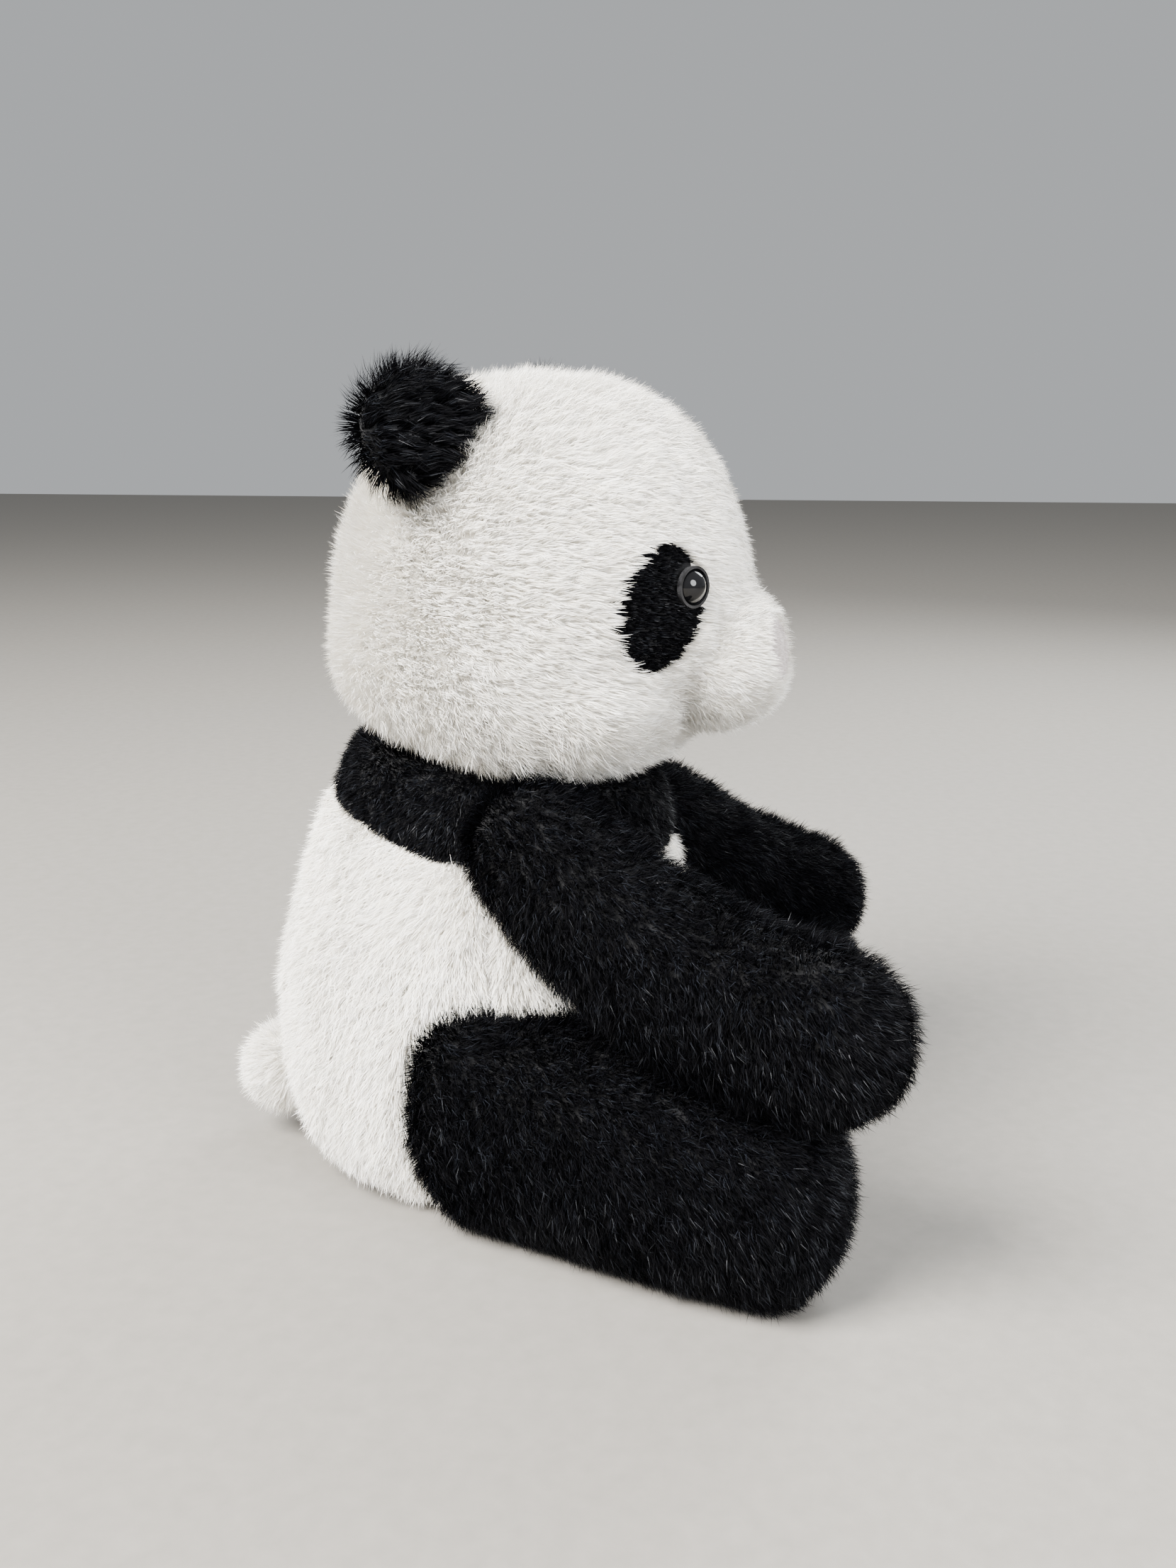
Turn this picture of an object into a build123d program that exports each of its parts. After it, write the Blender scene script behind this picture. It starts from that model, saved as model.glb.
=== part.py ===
from build123d import *
import math
import os

os.makedirs("parts", exist_ok=True)

# Sizes are in millimetres. The toy sits on z = 0 and faces -Y, so its own right side is at -X.

# fabric and fits
fabric = 3.0          # backing with the dense root of the pile
fill_gap = 0.2        # between a cover and its filling
seam_gap = 0.5        # between two stuffed parts sewn together
swing_gap = 1.0       # round a limb in its pocket
thread = 1.2

# torso
torso_tilt = 5.3      # degrees, leaning to the front
torso_back = 3.0      # where the torso's axis meets the ground
torso_profile = [(0, -14), (44, -8), (62, 12), (70, 42), (71, 70), (68, 105), (63, 132),
                 (54, 152), (38, 163), (0, 169)]
base_seam = 9.0       # height of the seam round the base
yoke_seam = 131.0     # along the torso's axis
side_seam = -21.0
neck_height = 162.0
neck_y = -12.0
pellet_radius = 22.0
pellet_height = 22.0
pellet_edge = 7.0

# head, measured before it's turned
head_look = -7.0      # degrees the head is turned at rest, to its own right
head_y = -26.0
head_profile = [(0, 163.5), (22, 164), (42, 167), (58, 176), (70, 194), (75, 218), (74, 240),
                (66, 262), (52, 279), (34, 289.5), (16, 293.8), (0, 294.5)]
crown_half = 26.0
chin_top = 200.0
muzzle_at = (0, -82, 197)
muzzle_radius = 29.5
nose_at = (0, -107, 206)
nose_radius = 7.5

# eyes
eye_x = 36.0
eye_z = 226.0
eye_radius = 6.5
eye_rise = 4.2
stem_radius = 2.0
stem_length = 13.0
rim_width = 0.9
rim_height = 1.6
washer_radius = 9.0
washer_thickness = 1.5
washer_depth = 6.5    # from the outer face of the patch
patch_x = 46.0
patch_z = 217.0
patch_radii = (15.0, 22.0)
patch_slant = 24.0
patch_reach = 14.0

# ears
ear_at = (66.3, -4.7, 280.3)
ear_radius = 20.0
ear_half = 6.5        # half its thickness at the middle
ear_facing = (0.62, -0.62, 0.30)
ear_line = (0.66, 0.28, -0.60)
ear_root = 12.5       # from the ear's centre to its fold
ear_bevel = (-12, 35)   # degrees its root is cut back, in front and behind

# arms
shoulder = (44, -40, 136)
shoulder_radius = 27.0
arm_waist = [(22.5, 22), (22, 60), (23.5, 105), (22.5, 130)]
arm_caps = (22, 24)   # length of the rounded ends
right_arm = ((-57, -17, 143), (-112, -156, 88))
left_arm = ((55, -21, 142), (141, -135, 71))
arm_seam_radius = 14.0

# legs
hip = (58, -28)
leg_waist = [(34.5, 30), (35.5, 50), (34.5, 92), (33.5, 128)]
leg_caps = (30, 18)
leg_ends = ((-54, 3, 37.5), (-96, -138, 34.5))
leg_pocket_reach = 80.0
leg_tilt_room = 0.8
hip_ease = 2.0
sole_depth = 9.0
leg_swing = (-8, 12)  # degrees out and in

# tail
tail_at = (0, 80, 28)
tail_radius = 14.5
tail_root = (0, 69.6, 28)
tail_swing = 20

big = 600.0
join_turn = 50        # degrees, keeps the closing edge of a turned face clear of the cuts
parts = {}


def shrunk(profile, by):
    """The same turned outline with every face moved in by about the same depth."""
    widest = max(r for r, z in profile)
    low, high = profile[0][1], profile[-1][1]
    middle, half = (low + high) / 2, (high - low) / 2
    return [(r * (widest - by) / widest, middle + (z - middle) * (half - by) / half)
            for r, z in profile]


def rounded(waist, caps):
    """An outline with a rounded cap of the given length before and after the waist."""
    turns = [math.radians(angle) for angle in (0, 20, 40, 60, 75)]
    first, last = waist[0], waist[-1]
    low = [(first[0] * math.sin(a), first[1] - caps[0] * math.cos(a)) for a in turns]
    high = [(last[0] * math.sin(a), last[1] + caps[1] * math.cos(a)) for a in reversed(turns)]
    return low + waist + high


def turned(profile):
    """A closed cushion: the outline turned about Z, as a lower and an upper face."""
    edge = Spline(*[(r, 0, z) for r, z in profile])
    axis_line = Line((0, 0, profile[-1][1]), (0, 0, profile[0][1]))
    return revolve(make_face([edge.trim(0, 0.5), edge.trim(0.5, 1), axis_line]), Axis.Z)


def limb_frame(ends):
    """Z runs down the limb and X stays as near sideways as it can."""
    start, stop = Vector(*ends[0]), Vector(*ends[1])
    along = (stop - start).normalized()
    side = (Vector(1, 0, 0) - along * along.X).normalized()
    return Plane(origin=start, x_dir=side, z_dir=along)


def limb(ends, profile, shrink=0.0):
    return limb_frame(ends) * Rot(0, 0, join_turn) * turned(shrunk(profile, shrink))


def above(z):
    return Pos(0, 0, z) * Box(big, big, big, align=(Align.CENTER, Align.CENTER, Align.MIN))


def below(z):
    return Pos(0, 0, z) * Box(big, big, big, align=(Align.CENTER, Align.CENTER, Align.MAX))


def beyond_x(x):
    return Pos(x, 0, 0) * Box(big, big, big, align=(Align.MIN, Align.CENTER, Align.CENTER))


def before_y(y):
    return Pos(0, y, 0) * Box(big, big, big, align=(Align.CENTER, Align.MAX, Align.CENTER))


def behind_y(y):
    return Pos(0, y, 0) * Box(big, big, big, align=(Align.CENTER, Align.MIN, Align.CENTER))


def mirrored(shape):
    return mirror(shape, about=Plane.YZ)


def one_solid(shape):
    """The largest solid of a cut, so that a stray sliver never becomes a part."""
    return max(shape.solids(), key=lambda s: s.volume)


def keep(name, shape):
    parts[name] = one_solid(shape)


def rod(radius, length):
    return Cylinder(radius, length, align=(Align.CENTER, Align.CENTER, Align.MIN))


arm_profile = rounded(arm_waist, arm_caps)
leg_profile = rounded(leg_waist, leg_caps)


# pockets the limbs sit and swing in
def shoulder_pocket(side):
    place = Pos(side * shoulder[0], shoulder[1], shoulder[2]) * Rot(0, side * 90, 0)
    return place * rod(shoulder_radius + swing_gap, 60)


def arm_seam(side):
    ring = Cylinder(arm_seam_radius, thread) - Cylinder(arm_seam_radius - thread, thread)
    at = side * (shoulder[0] - thread / 2)
    return Pos(at, shoulder[1], shoulder[2]) * Rot(0, 90, 0) * ring


def leg_pocket():
    """A hollow round the right hip, with a slot for the leg at each end of its swing."""
    widest = max(r for r, z in leg_profile) + swing_gap
    start, stop = Vector(*leg_ends[0]), Vector(*leg_ends[1])
    heading = math.degrees(math.atan2(stop.Y - start.Y, stop.X - start.X))
    centre = Pos(-hip[0], hip[1], (start.Z + stop.Z) / 2)
    rooms = [centre * Sphere(widest + hip_ease)]
    for swing in (leg_swing[0], 0, leg_swing[1]):
        rooms.append(centre * Rot(0, 0, heading + swing) * Rot(0, 90, 0)
                     * rod(widest + leg_tilt_room, leg_pocket_reach))
    return rooms


# torso
def torso_form(shrink=0.0):
    return torso_plane(turned(shrunk(torso_profile, shrink)))


def torso_plane(region):
    return Pos(0, torso_back, 0) * Rot(torso_tilt, 0, 0) * region


pockets = leg_pocket() + [mirrored(room) for room in leg_pocket()]
pockets += [shoulder_pocket(-1), shoulder_pocket(1), arm_seam(-1), arm_seam(1)]


def without_pockets(shape):
    for pocket in pockets:
        shape = shape - pocket
    return shape


inset = fabric + fill_gap
torso_outer = torso_form() & above(0) & below(neck_height)
torso_inner = torso_form(fabric) & above(fabric) & below(neck_height - fabric)
torso_fill = torso_form(inset) & above(inset) & below(neck_height - inset)
torso_shell = without_pockets(torso_outer - torso_inner)
yoke_region = torso_plane(above(yoke_seam))

yoke = torso_shell & yoke_region
keep("yoke_left", yoke & beyond_x(0))
keep("yoke_right", yoke - beyond_x(0))
lower_shell = torso_shell - yoke_region
keep("torso_base", lower_shell & below(base_seam))
wall = lower_shell & above(base_seam)
keep("torso_belly", wall - behind_y(side_seam))
back = wall & behind_y(side_seam)
keep("torso_back_left", back & beyond_x(0))
keep("torso_back_right", back - beyond_x(0))


def pellet_shape(grow):
    bag = rod(pellet_radius + grow, pellet_height + 2 * grow)
    return Pos(0, torso_back, inset + fill_gap - grow) * fillet(bag.edges(), pellet_edge)


keep("pellet_bag", pellet_shape(0))
keep("torso_stuffing", without_pockets(torso_fill) - pellet_shape(fill_gap / 2))
keep("arm_seam_right", arm_seam(-1))
keep("arm_seam_left", arm_seam(1))
print("torso")


# head: built looking straight ahead, then turned about the neck
def head_form(shrink=0.0):
    return Pos(0, head_y, 0) * Rot(0, 0, 2 * join_turn) * turned(shrunk(head_profile, shrink))


def looking(shape):
    return shape.rotate(Axis((0, neck_y, 0), (0, 0, 1)), head_look)


def ball(centre, radius):
    return Pos(*centre) * Sphere(radius)


head_floor = neck_height + seam_gap
head_outer = head_form() & above(head_floor)
head_inner = head_form(fabric) & above(head_floor + fabric)
head_filled = head_form(inset) & above(head_floor + inset)
muzzle_outer = ball(muzzle_at, muzzle_radius)
muzzle_inner = ball(muzzle_at, muzzle_radius - fabric)
muzzle_filled = ball(muzzle_at, muzzle_radius - inset)


def facing(x, z, spin=0.0):
    """A plane on the head's skin at this width and height, looking out level."""
    heights = [h for r, h in head_profile]
    index = max(i for i, h in enumerate(heights[:-1]) if h <= z)
    (r0, h0), (r1, h1) = head_profile[index], head_profile[index + 1]
    radius = r0 + (r1 - r0) * (z - h0) / (h1 - h0)
    depth = math.sqrt(radius ** 2 - x ** 2)
    outward = Vector(x, -depth, 0).normalized()
    level = Vector(0, 0, 1).cross(outward)
    return Plane(origin=Vector(x, head_y - depth, z), x_dir=level, z_dir=outward) * Rot(0, 0, spin)


patch_tool = facing(patch_x, patch_z, patch_slant) * extrude(
    Ellipse(*patch_radii), amount=patch_reach, both=True)
eye_place = facing(eye_x, eye_z)
eye_ball = Pos(0, 0, eye_rise - eye_radius) * Sphere(eye_radius)
eye_foot = math.sqrt(eye_radius ** 2 - (eye_radius - eye_rise) ** 2)
dome = eye_place * (eye_ball & above(0))
stem = eye_place * Pos(0, 0, -stem_length) * rod(stem_radius, stem_length)
rim_edge = eye_foot + rim_width
rim = eye_place * (rod(rim_edge, rim_height) - rod(eye_foot, rim_height))
seat = eye_place * rod(rim_edge + fill_gap, patch_reach)
stem_room = eye_place * Pos(0, 0, -stem_length - fill_gap) * rod(
    stem_radius, stem_length + fill_gap)
washer_place = eye_place * Pos(0, 0, -washer_depth)
washer = washer_place * (Cylinder(washer_radius, washer_thickness)
                         - Cylinder(stem_radius, washer_thickness))
washer_room = washer_place * Cylinder(washer_radius + fill_gap, washer_thickness + 2 * fill_gap)
nose = ball(nose_at, nose_radius) - ball(muzzle_at, muzzle_radius - fabric)

face_shell = head_outer - head_inner - muzzle_outer
patch = {}
for side_name, turn_over in (("left", lambda shape: shape), ("right", mirrored)):
    tool = turn_over(patch_tool)
    patch[side_name] = (face_shell & tool) - turn_over(seat) - turn_over(stem_room)
    keep("eye_patch_" + side_name, looking(patch[side_name]))
    keep("eye_" + side_name, looking(turn_over(dome + stem)))
    keep("eye_rim_" + side_name, looking(turn_over(rim)))
    keep("eye_washer_" + side_name, looking(turn_over(washer)))
for tool in (patch_tool, seat, stem_room):
    face_shell = face_shell - tool - mirrored(tool)
keep("head_side_left", looking(face_shell & beyond_x(crown_half)))
keep("head_side_right", looking(face_shell - beyond_x(-crown_half)))
strip = (face_shell & beyond_x(-crown_half)) - beyond_x(crown_half)
under = below(chin_top) & before_y(neck_y)
keep("head_crown", looking(strip - under))
keep("head_chin", looking(strip & under))

muzzle_shell = muzzle_outer - muzzle_inner - head_inner - ball(nose_at, nose_radius)
keep("muzzle_left", looking(muzzle_shell & beyond_x(0)))
keep("muzzle_right", looking(muzzle_shell - beyond_x(0)))
keep("nose_pad", looking(nose))
head_stuffing = head_filled
for turn_over in (lambda shape: shape, mirrored):
    for room in (washer_room, stem_room):
        head_stuffing = head_stuffing - turn_over(room)
keep("head_stuffing", looking(head_stuffing))
keep("muzzle_stuffing", looking(muzzle_filled - head_form(inset - fill_gap)))
print("head")

# ears: a soft disc in two layers, cut to a wedge at its fold
ear_normal = Vector(*ear_facing).normalized()
ear_side = Vector(*ear_line)
ear_side = (ear_side - ear_normal * ear_side.dot(ear_normal)).normalized()
ear_plane = Plane(origin=ear_at, x_dir=ear_side, z_dir=ear_normal)
lens = turned([(0, -ear_half), (ear_radius * 0.6, -ear_half * 0.8), (ear_radius, 0),
               (ear_radius * 0.6, ear_half * 0.8), (0, ear_half)])
ear_disc = lens
for bevel in ear_bevel:
    wedge = Pos(0, -ear_root, 0) * Rot(-bevel, 0, 0) * before_y(0)
    ear_disc = ear_disc - wedge
for name, layer in (("ear_front", ear_disc & above(0)), ("ear_back", ear_disc - above(0))):
    placed = ear_plane * layer
    keep(name + "_left", looking(placed))
    keep(name + "_right", looking(mirrored(placed)))
print("ears")


# limbs: a cover in two panels round a filling
def out_from(side, x):
    return beyond_x(x) if side > 0 else mirrored(beyond_x(x))


def keep_arm(side_name, side, ends):
    face = shoulder[0] + seam_gap
    cover = limb(ends, arm_profile) & out_from(side, face)
    cover = cover - (limb(ends, arm_profile, fabric) & out_from(side, face + fabric))
    outer_half = limb_frame(ends) * out_from(side, 0)
    keep("arm_outer_" + side_name, cover & outer_half)
    keep("arm_inner_" + side_name, cover - outer_half)
    keep("arm_stuffing_" + side_name,
         limb(ends, arm_profile, inset) & out_from(side, face + inset))


keep_arm("right", -1, right_arm)
keep_arm("left", 1, left_arm)

leg_frame = limb_frame(leg_ends)
leg_length = leg_profile[-1][1]
leg_cover = limb(leg_ends, leg_profile) - limb(leg_ends, leg_profile, fabric)
sole_region = leg_frame * above(leg_length - sole_depth)
leg_sides = leg_cover - sole_region
outer_half = leg_frame * out_from(-1, 0)
leg_pieces = {
    "leg_sole": leg_cover & sole_region,
    "leg_outer": leg_sides & outer_half,
    "leg_inner": leg_sides - outer_half,
    "leg_stuffing": limb(leg_ends, leg_profile, inset),
}
for name, shape in leg_pieces.items():
    keep(name + "_right", shape)
    keep(name + "_left", mirrored(shape))

# tail: its root is a wedge, so that it can wag up and down
tail_wedge = Pos(*tail_root) * Rot(tail_swing, 0, 0) * before_y(0)
tail_wedge = tail_wedge + Pos(*tail_root) * Rot(-tail_swing, 0, 0) * before_y(0)
tail_ball = ball(tail_at, tail_radius) - tail_wedge
tail_cover = tail_ball - ball(tail_at, tail_radius - fabric)
keep("tail_left", tail_cover & beyond_x(0))
keep("tail_right", tail_cover - beyond_x(0))
keep("tail_stuffing", ball(tail_at, tail_radius - inset) - tail_wedge)
print("limbs and tail")

for name, shape in parts.items():
    export_step(shape, f"parts/{name}.step")
print(len(parts), "parts")
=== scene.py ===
import bpy
import math
import numpy as np
from mathutils import Matrix, Vector


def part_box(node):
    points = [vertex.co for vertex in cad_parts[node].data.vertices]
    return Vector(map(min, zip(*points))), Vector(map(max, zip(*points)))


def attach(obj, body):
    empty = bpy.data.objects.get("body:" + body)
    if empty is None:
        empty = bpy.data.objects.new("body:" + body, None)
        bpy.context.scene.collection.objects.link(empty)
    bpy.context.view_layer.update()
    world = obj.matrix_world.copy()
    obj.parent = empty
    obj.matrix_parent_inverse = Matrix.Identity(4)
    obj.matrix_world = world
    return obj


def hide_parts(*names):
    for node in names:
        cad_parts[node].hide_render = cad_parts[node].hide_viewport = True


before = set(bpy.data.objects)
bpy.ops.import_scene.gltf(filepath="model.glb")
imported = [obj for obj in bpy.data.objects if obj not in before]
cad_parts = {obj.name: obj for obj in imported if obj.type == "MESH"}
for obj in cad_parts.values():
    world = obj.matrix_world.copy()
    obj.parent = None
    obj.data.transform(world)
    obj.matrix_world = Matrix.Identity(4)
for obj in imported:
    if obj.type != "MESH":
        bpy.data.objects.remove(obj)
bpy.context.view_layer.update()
mm = 0.001
cover = {"voxel": 2.6, "fill": 0.8}   # the grain of the sewn forms in mm, and how full they are stuffed


def collectMesh(name, verts, faces):
    mesh = bpy.data.meshes.new(name)
    mesh.from_pydata([tuple(v) for v in verts], [], faces)
    piece = bpy.data.objects.new(name, mesh)
    bpy.context.scene.collection.objects.link(piece)
    return piece


def applyAll(piece):
    depsgraph = bpy.context.evaluated_depsgraph_get()
    fresh = bpy.data.meshes.new_from_object(piece.evaluated_get(depsgraph))
    old = piece.data
    piece.modifiers.clear()
    piece.data = fresh
    bpy.data.meshes.remove(old)
    return piece


def vertsOf(piece):
    co = np.empty(len(piece.data.vertices) * 3)
    piece.data.vertices.foreach_get("co", co)
    return co.reshape(-1, 3)


def setVerts(piece, co):
    piece.data.vertices.foreach_set("co", np.ascontiguousarray(co, float).ravel())
    piece.data.update()


def calmDown(piece, factor, rounds):
    calm = piece.modifiers.new("calm", "SMOOTH")
    calm.factor = factor
    calm.iterations = rounds


def oneSkin(piece, voxel, rounds):
    # melts what overlaps into one closed form, then calms it
    remesh = piece.modifiers.new("oneSkin", "REMESH")
    remesh.mode = "VOXEL"
    remesh.voxel_size = voxel * mm
    calmDown(piece, 0.6, rounds)
    return applyAll(piece)


def roundBall(rings=16, sides=24):
    verts, faces = [(0, 0, -1)], []
    for i in range(1, rings):
        a = math.pi * i / rings
        for j in range(sides):
            b = 2 * math.pi * j / sides
            verts.append((math.sin(a) * math.cos(b), math.sin(a) * math.sin(b), -math.cos(a)))
    top = len(verts)
    verts.append((0, 0, 1))
    for j in range(sides):
        k = (j + 1) % sides
        faces.append((0, 1 + k, 1 + j))
        for i in range(rings - 2):
            low, high = 1 + i * sides, 1 + (i + 1) * sides
            faces.append((low + j, low + k, high + k, high + j))
        last = 1 + (rings - 2) * sides
        faces.append((last + j, last + k, top))
    return np.array(verts), faces


def bendThrough(rows, i, f):
    # a smooth curve through the rows, at the share f of the way from row i to the next
    p0, p1 = rows[max(i - 1, 0)], rows[i]
    p2, p3 = rows[i + 1], rows[min(i + 2, len(rows) - 1)]
    return 0.5 * (2 * p1 + (p2 - p0) * f + (2 * p0 - 5 * p1 + 4 * p2 - p3) * f * f
                  + (3 * p1 - p0 - 3 * p2 + p3) * f ** 3)


def stretchPath(stops, steps):
    # stops are (centre, radii) in mm; the path bends smoothly through them
    centres = np.array([centre for centre, radii in stops], float)
    radii = np.array([radii for centre, radii in stops], float)
    out = []
    for value in np.linspace(0, len(stops) - 1, steps):
        i = min(int(value), len(stops) - 2)
        out.append((bendThrough(centres, i, value - i), bendThrough(radii, i, value - i)))
    return out


def stuffedForm(name, balls, voxel, rounds):
    # a closed form from overlapping balls, each (centre, radii) in mm
    ballVerts, ballFaces = roundBall()
    verts, faces = [], []
    for centre, radii in balls:
        start = len(verts)
        verts.extend((ballVerts * np.array(radii) + np.array(centre)) * mm)
        faces.extend(tuple(start + i for i in f) for f in ballFaces)
    return oneSkin(collectMesh(name, verts, faces), voxel, rounds)


def turnedForm(name, profile, place, sides=72, rows=60):
    # a turned cushion: the outline is smoothed, then spun about Z
    r = np.array([p[0] for p in profile], float)
    z = np.array([p[1] for p in profile], float)
    step = np.r_[0, np.cumsum(np.hypot(np.diff(r), np.diff(z)))]
    t = np.linspace(0, step[-1], rows)
    rr, zz = np.interp(t, step, r), np.interp(t, step, z)
    for _ in range(6):
        rr[1:-1] = (rr[:-2] + 2 * rr[1:-1] + rr[2:]) / 4
        zz[1:-1] = (zz[:-2] + 2 * zz[1:-1] + zz[2:]) / 4
    verts, faces = [], []
    for i in range(1, rows - 1):
        for j in range(sides):
            a = 2 * math.pi * j / sides
            verts.append((rr[i] * math.cos(a), rr[i] * math.sin(a), zz[i]))
    low, high = len(verts), len(verts) + 1
    verts += [(0, 0, zz[0]), (0, 0, zz[-1])]
    for j in range(sides):
        k = (j + 1) % sides
        for i in range(rows - 3):
            faces.append((i * sides + j, i * sides + k, (i + 1) * sides + k, (i + 1) * sides + j))
        faces.append((low, k, j))
        faces.append((high, (rows - 3) * sides + j, (rows - 3) * sides + k))
    return collectMesh(name, place(np.array(verts)) * mm, faces)


def joinForms(name, forms, rounds):
    verts, faces = [], []
    for form in forms:
        start = len(verts)
        verts.extend(vertsOf(form))
        faces.extend(tuple(start + i for i in p.vertices) for p in form.data.polygons)
        bpy.data.objects.remove(form)
    return oneSkin(collectMesh(name, verts, faces), cover["voxel"], rounds)


stuffing = {"quality": 3, "mass": 0.25, "stretch": 12, "bend": 0.6, "pressure": 3.0, "frames": 14}


def stuffTight(form, seamNear, cap):
    # seamNear gives 1 on a seam and 0 away from it; the cover swells between its seams, at most cap mm.
    # The rounded limbs are tight already and hardly move; the torso swells by a few mm
    before = vertsOf(form)
    tight = form.vertex_groups.new(name="seams")
    hold = seamNear(before / mm)
    for number, weight in enumerate(hold):
        if weight > 0.05:
            tight.add([number], float(min(weight, 1)), "REPLACE")
    cloth = form.modifiers.new("stuffing", "CLOTH")
    cloth.settings.quality = stuffing["quality"]
    cloth.settings.mass = stuffing["mass"]
    cloth.settings.tension_stiffness = stuffing["stretch"]
    cloth.settings.compression_stiffness = stuffing["stretch"]
    cloth.settings.bending_stiffness = stuffing["bend"]
    cloth.settings.use_pressure = True
    cloth.settings.uniform_pressure_force = stuffing["pressure"]
    cloth.settings.vertex_group_mass = "seams"
    cloth.settings.effector_weights.gravity = 0
    cloth.collision_settings.use_collision = False
    cloth.point_cache.frame_start, cloth.point_cache.frame_end = 1, stuffing["frames"]
    scene = bpy.context.scene
    for step in range(1, stuffing["frames"] + 1):
        scene.frame_set(step)
    depsgraph = bpy.context.evaluated_depsgraph_get()
    swollen = form.evaluated_get(depsgraph).to_mesh()
    after = np.empty(len(before) * 3)
    swollen.vertices.foreach_get("co", after)
    form.modifiers.clear()
    form.vertex_groups.clear()
    scene.frame_set(1)
    moved = (after.reshape(-1, 3) - before) / mm
    far = np.linalg.norm(moved, axis=1, keepdims=True)
    moved *= np.minimum(1, cap / np.maximum(far, 1e-6))
    print("   ", form.name, "moved up to", round(float(far.max()), 2), "mm, kept", cap)
    setVerts(form, before + moved * mm)


def insideBalls(points, balls, grow):
    # True where a point (mm) lies in one of the balls grown by a few mm
    hit = np.zeros(len(points), bool)
    for centre, radii in balls:
        d = (points - np.array(centre)) / (np.array(radii) + grow)
        hit |= (d * d).sum(1) < 1
    return hit


def smoothStep(value, low, high):
    t = np.clip((value - low) / (high - low), 0, 1)
    return t * t * (3 - 2 * t)


def wave(points, size, seed):
    # a soft random field from -1 to 1 that changes over about size mm
    rng = np.random.default_rng(seed)
    total = np.zeros(len(points))
    for _ in range(5):
        way = rng.normal(size=3)
        way *= 2 * math.pi / (size * np.linalg.norm(way) * rng.uniform(0.7, 1.6))
        total += np.sin(points @ way + rng.uniform(0, 6.28))
    return total / 3.2


def waves(points, size, seed):
    # three such fields side by side
    return np.stack([wave(points, size, seed + i) for i in range(3)], 1)


def unit(rows):
    return rows / np.maximum(np.linalg.norm(rows, axis=1, keepdims=True), 1e-9)


def levelOut(points):
    # the level way out from the upright middle line
    level = points.copy()
    level[:, 2] = 0
    return unit(level)


def newMaterial(name):
    mat = bpy.data.materials.new(name)
    mat.use_nodes = True
    return mat, mat.node_tree, mat.node_tree.nodes["Principled BSDF"]


def addNoise(tree, scale, detail=4.0, rough=0.6):
    coords = tree.nodes.new("ShaderNodeTexCoord")
    noise = tree.nodes.new("ShaderNodeTexNoise")
    noise.inputs["Scale"].default_value = scale
    noise.inputs["Detail"].default_value = detail
    noise.inputs["Roughness"].default_value = rough
    tree.links.new(coords.outputs["Object"], noise.inputs["Vector"])
    return noise


def rampBetween(tree, source, dark, light, low=0.3, high=0.7):
    ramp = tree.nodes.new("ShaderNodeValToRGB")
    ramp.color_ramp.elements[0].position = low
    ramp.color_ramp.elements[0].color = (*dark, 1)
    ramp.color_ramp.elements[1].position = high
    ramp.color_ramp.elements[1].color = (*light, 1)
    tree.links.new(source, ramp.inputs["Fac"])
    return ramp


def colourBetween(tree, shader, source, dark, light):
    ramp = rampBetween(tree, source, dark, light)
    tree.links.new(ramp.outputs["Color"], shader.inputs["Base Color"])


def plushSkin(name, dark, light, grain, sheen, tint):
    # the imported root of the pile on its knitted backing
    mat, tree, shader = newMaterial(name)
    tufts = addNoise(tree, grain)
    colourBetween(tree, shader, tufts.outputs["Fac"], dark, light)
    bump = tree.nodes.new("ShaderNodeBump")
    bump.inputs["Strength"].default_value = 0.6
    bump.inputs["Distance"].default_value = 0.0012
    tree.links.new(tufts.outputs["Fac"], bump.inputs["Height"])
    tree.links.new(bump.outputs["Normal"], shader.inputs["Normal"])
    shader.inputs["Roughness"].default_value = 0.95
    shader.inputs["Sheen Weight"].default_value = sheen
    shader.inputs["Sheen Roughness"].default_value = 0.5
    shader.inputs["Sheen Tint"].default_value = (*tint, 1)
    return mat


def plushFibre(name, colour, rough, sheen, tint, gloss=0.3):
    # one shade of fibre; its softness varies over the pile
    mat, tree, shader = newMaterial(name)
    shader.inputs["Base Color"].default_value = (*colour, 1)
    shader.inputs["Roughness"].default_value = rough
    shader.inputs["Specular IOR Level"].default_value = gloss
    shader.inputs["Sheen Weight"].default_value = sheen
    shader.inputs["Sheen Roughness"].default_value = 0.45
    shader.inputs["Sheen Tint"].default_value = (*tint, 1)
    tufts = addNoise(tree, 160)
    spread = rampBetween(tree, tufts.outputs["Fac"], (0.2, 0.2, 0.2), (1, 1, 1))
    tree.links.new(spread.outputs["Color"], shader.inputs["Diffuse Roughness"])
    return mat


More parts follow.
